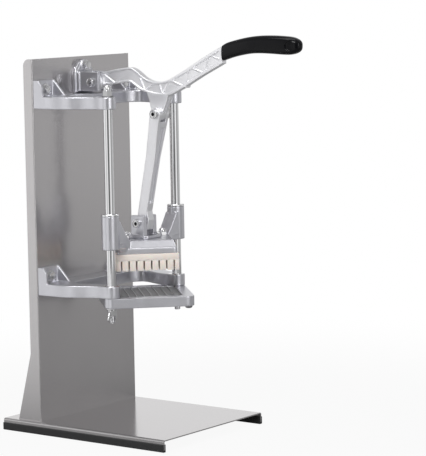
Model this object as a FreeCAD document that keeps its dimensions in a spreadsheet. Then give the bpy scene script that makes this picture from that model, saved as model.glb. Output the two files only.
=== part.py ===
"""Wall-style french fry cutter on its own stand: parametric source.

Frame: X to the right of someone facing the machine, -Y out of its front towards
that person, Z up from the table. Lengths are in millimetres.
"""
import FreeCAD, Part
import math
import os
import Sketcher

doc = FreeCAD.newDocument("fry_cutter")
V = FreeCAD.Vector

# --------------------------------------------------------------- driving sizes
SIZES = [
    ("sheet", 1.5, "thickness of the stainless sheet"),
    ("base_width", 205.4, "base plate, side to side"),
    ("base_front", 203.3, "base plate's front edge, ahead of the panel face"),
    ("base_back", 58.3, "base plate's back edge, behind the panel face"),
    ("base_top", 15.0, "height of the base plate's top face"),
    ("base_skirt", 12.4, "height of the folded side skirts"),
    ("strip_height", 9.6, "rubber edging, height"),
    ("strip_width", 5.0, "rubber edging, width"),
    ("panel_front", 142.75, "y of the panel's front face"),
    ("panel_inset", 5.7, "panel's sides, in from the base plate's sides"),
    ("panel_height", 462.6, "back panel, above the base plate"),
    ("panel_return", 14.5, "depth of the panel's side returns"),
    ("panel_foot", 37.3, "depth of the returns at the base plate"),
    ("panel_knee", 86.7, "height at which the returns start to widen"),
    ("panel_corner", 9.0, "radius at the returns' top corner"),
    ("panel_tab", 34.0, "depth of the tab that bolts to the base plate"),
    ("rod_half_pitch", 67.0, "guide rods, half the distance between their axes"),
    ("rod_reach", 97.0, "guide rods, distance ahead of the panel face"),
    ("rod_d", 12.0, "guide rod diameter"),
    ("rod_thread_d", 8.0, "guide rod, threaded ends"),
    ("boss_d", 22.0, "rod bosses on the carriage"),
    ("bracket_boss_d", 20.6, "rod bosses on the two brackets"),
    ("bracket_thick", 15.2, "arm and boss height of a bracket"),
    ("foot_height", 35.4, "height of a bracket foot"),
    ("foot_width", 36.0, "width of a bracket foot"),
    ("foot_depth", 14.5, "depth of a bracket foot"),
    ("foot_back", 5.0, "thickness of a foot behind its bolt"),
    ("upper_level", 415.4, "underside of the upper bracket"),
    ("lower_level", 178.4, "underside of the lower bracket"),
    ("frame_side", 114.0, "blade frame, side of its square"),
    ("frame_thick", 12.7, "blade frame, height"),
    ("frame_corner", 11.0, "blade frame, corner radius"),
    ("cut_pitch", 9.525, "width of one cut fry"),
    ("blade_thick", 0.6, "blade thickness"),
    ("blade_height", 10.0, "blade height"),
    ("comb_side", 79.5, "pusher block, side of its square"),
    ("comb_height", 21.0, "pusher block, height"),
    ("comb_slot", 2.0, "width of the pusher's slots"),
    ("comb_slot_depth", 12.4, "depth of the pusher's slots"),
    ("comb_bottom", 210.5, "underside of the pusher block"),
    ("plate_half", 54.0, "carriage plate, half of its diagonal"),
    ("plate_thick", 7.0, "carriage plate, thickness of its rim"),
    ("table_half", 48.0, "carriage's raised table, half of its diagonal"),
    ("table_rise", 9.6, "rise of the table above the rim"),
    ("boss_rise", 29.0, "underside of the carriage's bosses, above the pusher's"),
    ("boss_tall", 42.5, "height of the carriage's bosses"),
    ("bush_d", 16.0, "guide bush, outside diameter"),
    ("pivot_reach", 28.0, "lever pivot, ahead of the panel face"),
    ("pivot_level", 445.0, "height of the lever pivot"),
    ("pin_d", 8.0, "pivot and lug bolt shanks"),
    ("running_gap", 0.05, "radial clearance of a running fit"),
    ("cheek_in", 9.0, "hinge bracket, half of the gap between its cheeks"),
    ("cheek_out", 14.0, "hinge bracket, half of its width over the cheeks"),
    ("lever_half", 4.8, "lever, half of its width"),
    ("web_half", 3.0, "lever, half of its web"),
    ("rim_width", 2.4, "lever, width of its raised rims"),
    ("rib_width", 1.6, "lever, width of its ribs"),
    ("fork_half", 9.8, "link's fork, half of its width over the arms"),
    ("link_half", 5.9, "link's shank and foot, half of their width"),
    ("lug_y", -98.0, "lug pin, ahead of the lever pivot"),
    ("lug_z", -38.4, "lug pin, below the lever pivot"),
    ("clevis_rise", 56.5, "clevis bolt, above the underside of the pusher block"),
    ("clevis_bolt_d", 6.0, "clevis bolt shank"),
    ("ear_out", 13.4, "clevis, half of its width over the ears"),
    ("ear_in", 6.3, "clevis, half of the gap between its ears"),
    ("ear_depth", 21.7, "clevis, front to back"),
    ("grip_half", 10.0, "grip, half of its height"),
]
sheet = doc.addObject("Spreadsheet::Sheet", "Dims")
for row, (alias, value, note) in enumerate(SIZES, start=1):
    sheet.set(f"A{row}", alias)
    sheet.set(f"B{row}", str(value))
    sheet.set(f"C{row}", note)
    sheet.setAlias(f"B{row}", alias)
doc.recompute()


class Term:
    """A length with the spreadsheet expression that drives it."""

    def __init__(self, value, text):
        self.value = float(value)
        self.text = text

    def _join(self, other, sign, flip=False):
        a, b = (term(other), self) if flip else (self, term(other))
        ops = {"+": a.value + b.value, "-": a.value - b.value, "*": a.value * b.value}
        value = a.value / b.value if sign == "/" else ops[sign]
        return Term(value, f"({a.text} {sign} {b.text})")

    def __add__(self, o): return self._join(o, "+")
    def __radd__(self, o): return self._join(o, "+", True)
    def __sub__(self, o): return self._join(o, "-")
    def __rsub__(self, o): return self._join(o, "-", True)
    def __mul__(self, o): return self._join(o, "*")
    def __rmul__(self, o): return self._join(o, "*", True)
    def __truediv__(self, o): return self._join(o, "/")
    def __neg__(self): return Term(-self.value, f"(0 - {self.text})")
    def __float__(self): return self.value


def term(x):
    return x if isinstance(x, Term) else Term(x, f"{float(x):.5f}")


class Sizes:
    pass


D = Sizes()
for alias, value, note in SIZES:
    setattr(D, alias, Term(value, f"Dims.{alias}"))

ROOT2 = math.sqrt(2.0)
base_length = D.base_front + D.base_back
base_end = D.panel_front + D.base_back
panel_width = D.base_width - D.panel_inset * 2
boss_low = D.comb_bottom + D.boss_rise
clevis_level = D.comb_bottom + D.clevis_rise
rod_y = D.panel_front - D.rod_reach
pivot_y = D.panel_front - D.pivot_reach
lug_y, lug_z = pivot_y + D.lug_y, D.pivot_level + D.lug_z


def bind(obj, prop, x):
    if isinstance(x, Term):
        obj.setExpression(prop, x.text)


def place(obj, pos=(0, 0, 0), axis=(0, 0, 1), angle=0.0):
    obj.Placement = FreeCAD.Placement(V(*[float(c) for c in pos]),
                                      FreeCAD.Rotation(V(*axis), angle))
    for name, c in zip("xyz", pos):
        bind(obj, f"Placement.Base.{name}", c)


# ------------------------------------------------------------- sketch planes
def on_xy(z=0.0):
    return (0, 0, z), FreeCAD.Rotation()


def on_xz(y=0.0):
    """Sketch x is X and sketch y is Z; a pad grows towards -Y."""
    return (0, y, 0), FreeCAD.Rotation(V(1, 0, 0), 90)


def on_yz(x=0.0):
    """Sketch x is Y and sketch y is Z; a pad grows towards +X."""
    return (x, 0, 0), FreeCAD.Rotation(V(1, 1, 1), 120)


def draw(body, plane, loops=(), circles=(), curves=()):
    """A sketch of straight-sided loops, circles and free curves.

    Each corner and centre is held by a pair of distances from the origin, bound to the
    spreadsheet where it is a Term. A curve is a list of runs: two points make a line and
    more make a spline through them.
    """
    pos, rot = plane
    sk = doc.addObject("Sketcher::SketchObject", "Sketch")
    if body is not None:
        body.addObject(sk)
    sk.Placement = FreeCAD.Placement(V(*[float(c) for c in pos]), rot)
    for name, c in zip("xyz", pos):
        bind(sk, f"Placement.Base.{name}", c)
    ties, drives = [], []

    def hold(geo, point, xy):
        for kind, c in zip(("DistanceX", "DistanceY"), xy):
            ties.append(Sketcher.Constraint(kind, -1, 1, geo, point, float(c)))
            if isinstance(c, Term):
                drives.append((len(ties) - 1, c))

    for loop in loops:
        pts = [V(float(a), float(b), 0) for a, b in loop]
        first = sk.GeometryCount
        n = len(pts)
        sk.addGeometry([Part.LineSegment(pts[i], pts[(i + 1) % n]) for i in range(n)], False)
        for i in range(n):
            ties.append(Sketcher.Constraint("Coincident", first + i, 2, first + (i + 1) % n, 1))
            hold(first + i, 1, loop[i])
    for x, y, r in circles:
        geo = sk.addGeometry(Part.Circle(V(float(x), float(y), 0), V(0, 0, 1), float(r)), False)
        hold(geo, 3, (x, y))
        ties.append(Sketcher.Constraint("Radius", geo, float(r)))
        if isinstance(r, Term):
            drives.append((len(ties) - 1, r))
    for curve in curves:
        for run in curve:
            pts = [V(a, b, 0) for a, b in run]
            if len(pts) == 2:
                sk.addGeometry(Part.LineSegment(*pts), False)
            else:
                spline = Part.BSplineCurve()
                spline.interpolate(pts)
                sk.addGeometry(spline, False)
    if ties:
        sk.addConstraint(ties)
    for index, x in drives:
        sk.setExpression(f"Constraints[{index}]", x.text)
    return sk


class Solid:
    """One PartDesign body with short calls for its features."""

    def __init__(self, label, pos=(0, 0, 0), axis=(0, 0, 1), angle=0.0):
        self.body = doc.addObject("PartDesign::Body", label)
        self.body.Label = label
        place(self.body, pos, axis, angle)

    def _extrude(self, kind, plane, length, flip, loops, circles, curves):
        sk = draw(self.body, plane, loops, circles, curves)
        f = self.body.newObject(kind, "Feature")
        f.Profile = sk
        f.Length = float(length)
        bind(f, "Length", length)
        f.Reversed = flip
        doc.recompute()
        if not f.Shape.isValid() or f.Shape.isNull():
            raise ValueError(f"{self.body.Label}: {f.Name} failed")
        return f

    def pad(self, plane, length, loops=(), circles=(), curves=(), flip=False):
        return self._extrude("PartDesign::Pad", plane, length, flip, loops, circles, curves)

    def cut(self, plane, length, loops=(), circles=(), curves=(), flip=False):
        """A pocket that grows the same way as a pad on the same plane."""
        return self._extrude("PartDesign::Pocket", plane, length, not flip, loops, circles, curves)

    def repeat(self, feature, axis_name, length, count):
        p = self.body.newObject("PartDesign::LinearPattern", "Pattern")
        p.Originals = [feature]
        p.Direction = (feature.Profile[0], [axis_name])
        p.Length = float(length)
        bind(p, "Length", length)
        p.Occurrences = count
        self.body.Tip = p
        doc.recompute()
        return p

    def fillet(self, radius, pick):
        """Round the edges for which `pick` is true."""
        tip = self.body.Tip
        names = [f"Edge{i}" for i, e in enumerate(tip.Shape.Edges, start=1) if pick(e)]
        if not names:
            raise ValueError(f"{self.body.Label}: no edge picked")
        f = self.body.newObject("PartDesign::Fillet", "Round")
        f.Base = (tip, names)
        f.Radius = float(radius)
        bind(f, "Radius", radius)
        doc.recompute()
        if f.Shape.isNull() or not f.Shape.isValid() or "Invalid" in f.State:
            raise ValueError(f"{self.body.Label}: {f.Name} failed on {names}")
        return f

    def loft(self, sketches):
        f = self.body.newObject("PartDesign::AdditiveLoft", "Loft")
        f.Profile = sketches[0]
        f.Sections = sketches[1:]
        doc.recompute()
        return f


X, Y, Z = (1, 0, 0), (0, 1, 0), (0, 0, 1)


def box_loop(x0, y0, x1, y1):
    return [(x0, y0), (x1, y0), (x1, y1), (x0, y1)]


def along(edge, axis):
    """True for a straight edge parallel to the given axis."""
    if not isinstance(edge.Curve, Part.Line):
        return False
    return abs(abs(edge.Curve.Direction.dot(V(*axis))) - 1.0) < 1e-4


def mid(edge):
    return edge.valueAt((edge.FirstParameter + edge.LastParameter) / 2)


def at(value, target):
    return abs(value - float(target)) < 0.01


# ----------------------------------------------------------- fastener pieces
Z_AXIS, X_AXIS = ((0, 0, 1), 0.0), ((0, 1, 0), 90.0)
BACK, FRONT = ((1, 0, 0), -90.0), ((1, 0, 0), 90.0)   # along +Y and along -Y
DOWN, LEFT = ((1, 0, 0), 180.0), ((0, 1, 0), -90.0)


def cyl(r, h, pos, way=Z_AXIS):
    o = doc.addObject("Part::Cylinder", "Round")
    o.Radius, o.Height = float(r), float(h)
    bind(o, "Radius", r)
    bind(o, "Height", h)
    place(o, pos, *way)
    return o


def cone(r1, r2, h, pos, way=Z_AXIS):
    o = doc.addObject("Part::Cone", "Taper")
    o.Radius1, o.Radius2, o.Height = float(r1), float(r2), float(h)
    place(o, pos, *way)
    return o


def hexa(flats, h, pos, way=Z_AXIS):
    o = doc.addObject("Part::Prism", "Hex")
    o.Polygon, o.Circumradius, o.Height = 6, float(flats) / math.sqrt(3.0), float(h)
    bind(o, "Height", h)
    place(o, pos, *way)
    return o


def ball(r, pos):
    o = doc.addObject("Part::Sphere", "Ball")
    o.Radius = float(r)
    place(o, pos)
    return o


def fuse(*items):
    o = doc.addObject("Part::MultiFuse", "Fuse")
    o.Shapes = list(items)
    return o


def take(base, tool):
    o = doc.addObject("Part::Cut", "Cut")
    o.Base, o.Tool = base, tool
    return o


def both(a, b):
    o = doc.addObject("Part::Common", "Common")
    o.Base, o.Tool = a, b
    return o


def group(label, items):
    o = doc.addObject("Part::Compound", label)
    o.Label = label
    o.Links = list(items)
    return o


NODES = []


def node(obj):
    NODES.append(obj)
    return obj


def shift(pos, way, t):
    """A point moved by t along the direction that `way` turns +Z into."""
    d = FreeCAD.Rotation(V(*way[0]), way[1]).multVec(V(0, 0, 1))
    return tuple(c if abs(k) < 1e-9 else c + round(k) * t
                 for c, k in zip(pos, (d.x, d.y, d.z)))


def hex_bolt(pos, way, shank_r, length, flats, head):
    """Hex bolt: `pos` is under the head and `way` points out of the head."""
    back = shift(pos, way, -length)
    top = shift(pos, way, head - 0.9)
    core = hexa(flats, head - 0.9, pos, way)
    crown = cone(flats / 2.0 + 0.35, flats / 2.0 - 0.7, 0.9, top, way)
    return fuse(core, both(hexa(flats, 0.9, top, way), crown),
                cyl(shank_r, length, back, way))


def hex_nut(pos, way, bore_r, flats, height):
    """Hex nut: `pos` is its seat and `way` points away from the seat."""
    body = both(hexa(flats, height, pos, way),
                cone(flats / 2.0 + height, flats / 2.0 - 0.1, height, pos, way))
    return take(body, cyl(bore_r, height, pos, way))


def washer(pos, way, bore_r, r, thick):
    return take(cyl(r, thick, pos, way), cyl(bore_r, thick, pos, way))


def socket_screw(pos, way, shank_r, length, head_r, head, key):
    """Cap screw with a hexagon socket: `pos` is under the head."""
    back = shift(pos, way, -length)
    mouth = shift(pos, way, head - key * 0.55)
    return take(fuse(cyl(head_r, head, pos, way), cyl(shank_r, length, back, way)),
                hexa(key, key, mouth, way))


def dome_screw(pos, way, shank_r, length, head_r, head):
    """Screw with a domed head: `pos` is under the head."""
    back = shift(pos, way, -length)
    dome = fuse(cyl(head_r, head * 0.45, pos, way),
                cone(head_r, head_r * 0.55, head * 0.55, shift(pos, way, head * 0.45), way))
    return fuse(dome, cyl(shank_r, length, back, way))


def wing_nut(pos, way, turn, bore_r, hub_low, hub_high, hub_tall, span, tall, label=None):
    """Wing nut on a round hub; `turn` is the angle of its wings about the vertical."""
    up = 1.0 if way == Z_AXIS else -1.0
    n = Solid(label or "wing_nut", pos, (0, 0, 1), turn)
    if up < 0:
        n.body.Placement.Rotation = FreeCAD.Rotation(V(0, 0, 1), turn).multiply(
            FreeCAD.Rotation(V(1, 0, 0), 180))
    hub = [draw(n.body, on_xy(0.0), circles=[(0, 0, hub_low)]),
           draw(n.body, on_xy(hub_tall), circles=[(0, 0, hub_high)])]
    n.loft(hub)
    wing = [(hub_high * 0.55, 0.8), (span * 0.62, hub_tall * 0.45), (span, tall * 0.78),
            (span * 0.93, tall), (span * 0.72, tall * 0.97), (hub_high * 0.75, hub_tall * 0.85)]
    for sign in (1, -1):
        n.pad(on_xz(1.1), 2.2, loops=[[(sign * a, b) for a, b in wing]])
    n.cut(on_xy(0.0), hub_tall, circles=[(0, 0, bore_r)])
    n.body.Tip.Refine = True
    return n.body


# =============================================================== stand
# Base plate: a sheet with both long sides folded down into skirts.
base = Solid("base_plate")
half = D.base_width / 2
low = D.base_top - D.base_skirt
base.pad(on_xz(base_end), base_length, loops=[[
    (-half, D.base_top), (-half, low), (-half + D.sheet, low),
    (-half + D.sheet, D.base_top - D.sheet), (half - D.sheet, D.base_top - D.sheet),
    (half - D.sheet, low), (half, low), (half, D.base_top)]])
base.fillet(2.4, lambda e: along(e, Y) and at(mid(e).z, D.base_top))
base.fillet(0.9, lambda e: along(e, Y) and at(mid(e).z, D.base_top - D.sheet))
TAB_X = (-70.0, 0.0, 70.0)
tab_y = D.panel_front + D.panel_tab * 0.6
base.cut(on_xy(D.base_top - D.sheet), D.sheet, circles=[(x, tab_y, 2.75) for x in TAB_X])
node(base.body)

# Rubber edging pushed on each skirt; the machine stands on these two strips.
for side, sign in (("left", -1), ("right", 1)):
    strip = Solid(f"rubber_strip_{side}")
    out, inn = sign * (D.base_width / 2 + 1.6), sign * (D.base_width / 2 + 1.6 - D.strip_width)
    s_out, s_in = sign * (D.base_width / 2), sign * (D.base_width / 2 - D.sheet)
    strip.pad(on_xz(base_end), base_length, loops=[[
        (out, 0.0), (out, D.strip_height), (s_out, D.strip_height), (s_out, low),
        (s_in, low), (s_in, D.strip_height), (inn, D.strip_height), (inn, 0.0)]])
    strip.fillet(1.1, lambda e, side_x=out: along(e, Y) and at(mid(e).x, side_x))
    node(strip.body)

# Back panel: a folded sheet whose side returns widen into feet at the base plate.
panel = Solid("back_panel")
hw = panel_width / 2
top = D.base_top + D.panel_height
pf = D.panel_front
panel.pad(on_xz(pf + D.sheet), D.sheet, loops=[box_loop(-hw, D.base_top, hw, top)])
for sign in (-1, 1):
    x = -hw if sign < 0 else hw - D.sheet
    panel.pad(on_yz(x), D.sheet, loops=[[
        (pf, D.base_top), (pf + D.panel_foot, D.base_top), (pf + D.panel_return, D.base_top + D.panel_knee),
        (pf + D.panel_return, top), (pf, top)]])
panel.pad(on_xy(D.base_top), D.sheet, loops=[box_loop(
    -hw + D.sheet, pf + D.sheet, hw - D.sheet, pf + D.panel_tab)])
panel.fillet(D.panel_corner, lambda e: along(e, X) and at(mid(e).z, top)
             and at(mid(e).y, pf + D.panel_return))
panel.fillet(1.6, lambda e: along(e, Z) and at(mid(e).y, pf) and at(abs(mid(e).x), hw))
FOOT_OUT = float(hw) - 1.0
FOOT_BOLT_X, FOOT_BOLT_RISE = FOOT_OUT - 18.0, 23.2
HINGE_BOLT_RISE, HINGE_LOW_DROP = 21.6, 2.5
levels = (D.upper_level + FOOT_BOLT_RISE, D.lower_level + FOOT_BOLT_RISE)
holes = [(s * FOOT_BOLT_X, z, 3.3) for s in (-1, 1) for z in levels]
holes += [(0.0, D.pivot_level + HINGE_BOLT_RISE, 3.3), (0.0, D.pivot_level - HINGE_LOW_DROP, 3.3)]
panel.cut(on_xz(pf + D.sheet), D.sheet, circles=holes)
panel.cut(on_xy(D.base_top), D.sheet, circles=[(x, tab_y, 2.75) for x in TAB_X])
node(panel.body)

screws, nuts = [], []
for x in TAB_X:
    screws.append(hex_bolt((x, tab_y, D.base_top + D.sheet), Z_AXIS, 2.5, 9.0, 8.0, 3.4))
    nuts.append(hex_nut((x, tab_y, D.base_top - D.sheet), DOWN, 2.55, 8.0, 4.0))
node(group("panel_screws", screws))
node(group("panel_screw_nuts", nuts))


# =============================================================== brackets
def bracket(label, level):
    """Cast bracket: two pocketed feet, a web along the panel and an arm to each rod."""
    b = Solid(label, (0, D.panel_front, level))
    o, h = FOOT_OUT, D.foot_height
    # Feet: back plates, outer cheeks with a slanted nose, inner gussets.
    for s in (-1, 1):
        b.pad(on_xz(0.0), D.foot_back, loops=[box_loop(s * (FOOT_BOLT_X - 18.0), 0.0, s * o, h)])
        x = -o if s < 0 else o - 4.0
        b.pad(on_yz(x), 4.0, loops=[[(0, 0), (0, h), (-8.8, h), (-D.foot_depth, h - 8.2),
                                     (-D.foot_depth, 0)]])
        x = -(FOOT_BOLT_X - 14.4) if s < 0 else FOOT_BOLT_X - 18.0
        b.pad(on_yz(x), 3.6, loops=[[(0, 0), (0, h), (-5.6, h), (-25.0, D.bracket_thick),
                                     (-25.0, 0)]])
    # Floor: one plate in plan, with the arms curving in from the feet to the bosses.
    r = float(D.bracket_boss_d) / 2
    rx, ry = float(D.rod_half_pitch), -float(D.rod_reach)
    outer = [(-o, -20.0), (-o, -36.0), (3.0 - o, -50.0), (10.0 - o, -64.0), (16.0 - o, -77.0),
             (-rx - r, -88.0), (-rx - r, ry)]
    inner = [(-rx + r, ry), (-rx + r, -86.0), (-60.0, -70.0), (-66.0, -54.0), (-69.0, -41.0),
             (-60.0, -31.0), (-48.0, -27.5)]
    right_out = [(-a, c) for a, c in reversed(outer)]
    right_in = [(-a, c) for a, c in reversed(inner)]
    b.pad(on_xy(0.0), D.bracket_thick, curves=[[
        [(-o, 0.0), (-o, -20.0)], outer, [outer[-1], inner[0]], inner,
        [inner[-1], right_in[0]], right_in, [right_in[-1], right_out[0]], right_out,
        [(o, -20.0), (o, 0.0)], [(o, 0.0), (-o, 0.0)]]])
    for s in (-1, 1):
        b.pad(on_xy(0.0), D.bracket_thick, circles=[(s * D.rod_half_pitch, -D.rod_reach,
                                                     D.bracket_boss_d / 2)])
    b.cut(on_xy(0.0), D.bracket_thick, circles=[
        (s * D.rod_half_pitch, -D.rod_reach, D.rod_d / 2 + 0.02) for s in (-1, 1)])
    b.cut(on_xz(0.0), D.foot_back, circles=[(s * FOOT_BOLT_X, FOOT_BOLT_RISE, 3.3) for s in (-1, 1)])
    node(b.body)
    return b


upper = bracket("upper_bracket", D.upper_level)
lower = bracket("lower_bracket", D.lower_level)

bolts = {"upper": [], "lower": []}
foot_washers, foot_nuts = [], []
for name, level in zip(("upper", "lower"), levels):
    for s in (-1, 1):
        seat = (s * FOOT_BOLT_X, pf - D.foot_back, level)
        foot_washers.append(washer(seat, FRONT, 3.2, 8.0, 1.4))
        bolts[name].append(hex_bolt(shift(seat, FRONT, 1.4), FRONT, 3.0, 14.5, 10.0, 4.4))
        foot_nuts.append(hex_nut((s * FOOT_BOLT_X, pf + D.sheet, level), BACK, 3.05, 10.0, 5.0))
node(group("upper_bracket_bolts", bolts["upper"]))
node(group("lower_bracket_bolts", bolts["lower"]))
node(group("bracket_washers", foot_washers))
node(group("bracket_nuts", foot_nuts))

# =============================================================== hinge bracket
# A flanged casting with a lobe for its top bolt and two cheeks that hold the lever.
hinge = Solid("hinge_bracket", (0, D.panel_front, D.pivot_level))
lobe = [(-18.5, -6.0), (-18.5, 8.0), (-17.0, 15.0), (-12.6, 22.0), (-7.0, 26.6), (0.0, 28.4),
        (7.0, 26.6), (12.6, 22.0), (17.0, 15.0), (18.5, 8.0), (18.5, -6.0)]
hinge.pad(on_xz(0.0), 4.2, curves=[[lobe, [lobe[-1], (18.5, -14.2)],
                                    [(18.5, -14.2), (-18.5, -14.2)], [(-18.5, -14.2), lobe[0]]]])
hinge.pad(on_xz(0.0), 6.6, circles=[(0.0, HINGE_BOLT_RISE, 7.2)])
hinge.pad(on_xz(0.0), 11.0, loops=[box_loop(-D.cheek_out, -11.4, D.cheek_out, 13.6)])
for s in (-1, 1):
    x = -D.cheek_out if s < 0 else D.cheek_in
    hinge.pad(on_yz(x), D.cheek_out - D.cheek_in, loops=[[
        (-10.0, -11.4), (-38.4, -11.4), (-38.4, 12.8), (-10.0, 13.6)]])
    x = -D.cheek_out - 2.2 if s < 0 else D.cheek_out
    hinge.pad(on_yz(x), 2.2, loops=[[(0.0, -14.2), (-8.6, -11.4), (-8.6, 11.0), (0.0, 20.0)]])
hinge.cut(on_yz(-D.cheek_out), D.cheek_out * 2, circles=[(-D.pivot_reach, 0.0, D.pin_d / 2 + 0.15)])
hinge.cut(on_xz(0.0), 11.0, circles=[(0.0, HINGE_BOLT_RISE, 3.3), (0.0, -HINGE_LOW_DROP, 3.3)])
node(hinge.body)

top_seat = (0.0, pf - 6.6, D.pivot_level + HINGE_BOLT_RISE)
hinge_screws = [hex_bolt(shift(top_seat, FRONT, 1.4), FRONT, 3.0, 16.0, 10.0, 4.4)]
hinge_nuts = [hex_nut((0.0, pf + D.sheet, D.pivot_level + HINGE_BOLT_RISE), BACK, 3.05, 10.0, 5.0)]
low_seat = (0.0, pf - 11.0, D.pivot_level - HINGE_LOW_DROP)
hinge_screws.append(hex_bolt(low_seat, FRONT, 3.0, 19.0, 10.0, 4.4))
hinge_nuts.append(hex_nut((0.0, pf + D.sheet, D.pivot_level - HINGE_LOW_DROP), BACK, 3.05, 10.0, 5.0))
node(group("hinge_bracket_bolts", hinge_screws))
node(washer(top_seat, FRONT, 3.2, 6.6, 1.4))
NODES[-1].Label = "hinge_bracket_washer"
node(group("hinge_bracket_nuts", hinge_nuts))

pivot = (-D.cheek_out, pivot_y, D.pivot_level)
bolt = node(hex_bolt(pivot, LEFT, D.pin_d / 2, D.cheek_out * 2 + 7.5, 10.0, 4.6))
bolt.Label = "pivot_bolt"
nut = node(hex_nut((D.cheek_out, pivot_y, D.pivot_level), X_AXIS, 4.05, 13.0, 6.5))
nut.Label = "pivot_nut"

# =============================================================== guide rods
frame_low = D.lower_level - D.frame_thick
rod_low = frame_low - 19.0
rod_top = D.upper_level + D.bracket_thick
for side, s in (("left", -1), ("right", 1)):
    x = s * D.rod_half_pitch
    shoulder = D.lower_level
    rod = fuse(cyl(D.rod_thread_d / 2, shoulder - rod_low, (x, rod_y, rod_low)),
               cyl(D.rod_d / 2, rod_top - shoulder, (x, rod_y, shoulder)),
               cyl(D.rod_thread_d / 2, 10.0, (x, rod_y, rod_top)))
    rod.Label = f"guide_rod_{side}"
    node(rod)
CAP_TALL = 14.2
caps, cap_washers = [], []
for s in (-1, 1):
    x = s * D.rod_half_pitch
    cap_washers.append(washer((x, rod_y, rod_top), Z_AXIS, 4.2, 8.4, 1.6))
    cap = both(hexa(12.0, CAP_TALL, (x, rod_y, rod_top + 1.6)),
               fuse(cyl(8.0, CAP_TALL - 3.0, (x, rod_y, rod_top + 1.6)),
                    cone(6.9, 4.4, 3.0, (x, rod_y, rod_top + CAP_TALL - 1.4))))
    caps.append(take(cap, cyl(4.05, 9.0, (x, rod_y, rod_top + 1.6))))
node(group("rod_washers", cap_washers))
node(group("rod_cap_nuts", caps))

# =============================================================== blade frame
# A square ring turned 45 degrees, so that two corners come under the rods.
frame = Solid("blade_frame", (0, rod_y, frame_low), (0, 0, 1), 45.0)
fh = D.frame_side / 2
opening = D.cut_pitch * 4.5
frame.pad(on_xy(0.0), D.frame_thick, loops=[box_loop(-fh, -fh, fh, fh),
                                           box_loop(-opening, -opening, opening, opening)])
frame.fillet(D.frame_corner, lambda e: along(e, Z) and at(abs(mid(e).x), fh))
frame.fillet(3.0, lambda e: along(e, Z) and at(abs(mid(e).x), opening))
diag = D.rod_half_pitch * (1 / ROOT2)
frame.cut(on_xy(0.0), D.frame_thick, circles=[(diag, -diag, 4.2), (-diag, diag, 4.2)])
CORNER_REACH = D.rod_half_pitch + 3.0
turned = CORNER_REACH * (1 / ROOT2)
frame.cut(on_xy(0.0), 6.4, circles=[(turned, turned, 2.5), (-turned, -turned, 2.5)])
reach = opening + 5.0
gap = D.blade_thick / 2 + 0.1
seat_z = D.frame_thick - D.blade_height - 0.6
for swap in (False, True):
    first = [(-reach, -D.cut_pitch * 3.5 - gap), (reach, -D.cut_pitch * 3.5 - gap),
             (reach, -D.cut_pitch * 3.5 + gap), (-reach, -D.cut_pitch * 3.5 + gap)]
    if swap:
        first = [(b, a) for a, b in first]
    slot = frame.cut(on_xy(seat_z), D.frame_thick - seat_z, loops=[first])
    frame.repeat(slot, "H_Axis" if swap else "V_Axis", D.cut_pitch * 7, 8)
node(frame.body)

# Blades: two crossed sets of eight strips, half-lapped where they cross.
half_len = float(reach) - 0.3
blade_z = D.lower_level - D.blade_height - 0.6
for label, turn, notch_up in (("blades_lengthwise", 45.0, True), ("blades_crosswise", 135.0, False)):
    strips = []
    h = float(D.blade_height)
    pitch = float(D.cut_pitch)
    outline = [(-half_len, 0.0), (half_len, 0.0), (half_len, h), (-half_len, h)]
    marks = [(k - 3.5) * pitch for k in range(8)]
    if notch_up:
        cutline = [p for m in reversed(marks) for p in
                   ((m + 0.45, h), (m + 0.45, h / 2 - 0.1), (m - 0.45, h / 2 - 0.1), (m - 0.45, h))]
        outline = [(-half_len, 0.0), (half_len, 0.0), (half_len, h)] + cutline + [(-half_len, h)]
    else:
        cutline = [p for m in marks for p in
                   ((m - 0.45, 0.0), (m - 0.45, h / 2 + 0.1), (m + 0.45, h / 2 + 0.1), (m + 0.45, 0.0))]
        outline = [(-half_len, 0.0)] + cutline + [(half_len, 0.0), (half_len, h), (-half_len, h)]
    sk = draw(None, on_xz(0.0), loops=[outline])
    strip = doc.addObject("Part::Extrusion", "Blade")
    strip.Base, strip.DirMode, strip.Solid = sk, "Normal", True
    strip.LengthFwd = float(D.blade_thick)
    bind(strip, "LengthFwd", D.blade_thick)
    c, s = math.cos(math.radians(turn)), math.sin(math.radians(turn))
    for m in marks:
        one = doc.addObject("App::Link", "Strip")
        one.LinkedObject = strip
        off = m + float(D.blade_thick) / 2
        one.Placement = FreeCAD.Placement(
            V(-s * off, float(rod_y) + c * off, float(blade_z)), FreeCAD.Rotation(V(0, 0, 1), turn))
        strips.append(one)
    node(group(label, strips))

# Wing nuts that clamp the blade frame up against the lower bracket.
lower_washers = []
for side, s, turn in (("left", -1, 13.0), ("right", 1, -40.0)):
    x = s * D.rod_half_pitch
    lower_washers.append(washer((x, rod_y, frame_low), DOWN, 4.2, 7.6, 1.4))
    node(wing_nut((x, rod_y, frame_low - 1.4), DOWN, turn, 4.05, 6.4, 4.9, 8.0, 12.6, 14.0,
                  f"wing_nut_{side}"))
node(group("blade_frame_washers", lower_washers))
corner_screws = [dome_screw((0.0, rod_y + s * CORNER_REACH, frame_low), DOWN, 2.4, 6.0, 4.6, 3.2)
                 for s in (-1, 1)]
node(group("blade_frame_screws", corner_screws))

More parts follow.
